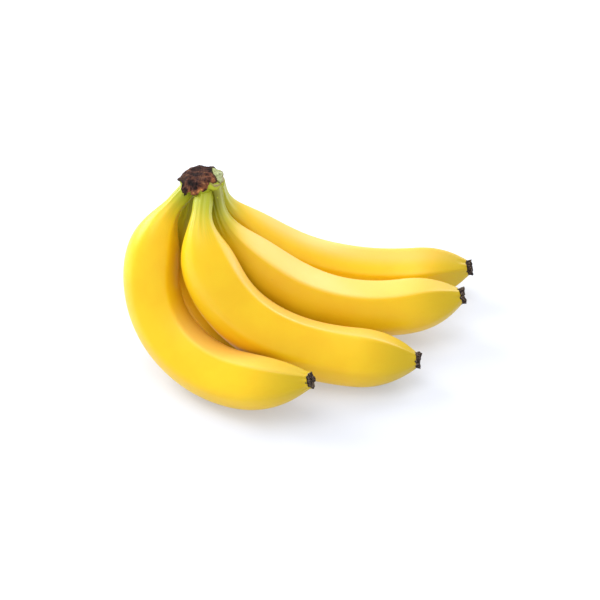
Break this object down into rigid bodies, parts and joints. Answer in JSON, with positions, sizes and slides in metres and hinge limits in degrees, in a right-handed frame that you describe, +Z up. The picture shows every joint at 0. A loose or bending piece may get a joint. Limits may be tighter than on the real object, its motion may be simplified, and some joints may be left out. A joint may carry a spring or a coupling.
{
  "type": "bunch of bananas",
  "caption": "Bunch of ripe bananas joined at a cut crown, lying on a flat surface with the tips fanned to one side.",
  "frame": {"origin": "on the surface that the bunch lies on, under the middle of its box", "axes": "+X towards the tips along the fan of bananas, +Y to the back as pictured, +Z up"},
  "size_m": [0.2328, 0.1654, 0.1244],
  "materials": {
    "peel": "waxy, smooth, slightly translucent, greener at the stalk",
    "crown": "dry, fibrous, dark brown with green at the base",
    "dried_flower": "dry, crumpled, almost black"
  },
  "bodies": {
    "root": {"crown": "crown", "banana_1": "peel", "banana_2": "peel", "banana_3": "peel", "banana_4": "peel", "banana_5": "peel", "tip_1": "dried_flower", "tip_2": "dried_flower", "tip_3": "dried_flower", "tip_4": "dried_flower", "tip_5": "dried_flower"}
  },
  "joints": []
}
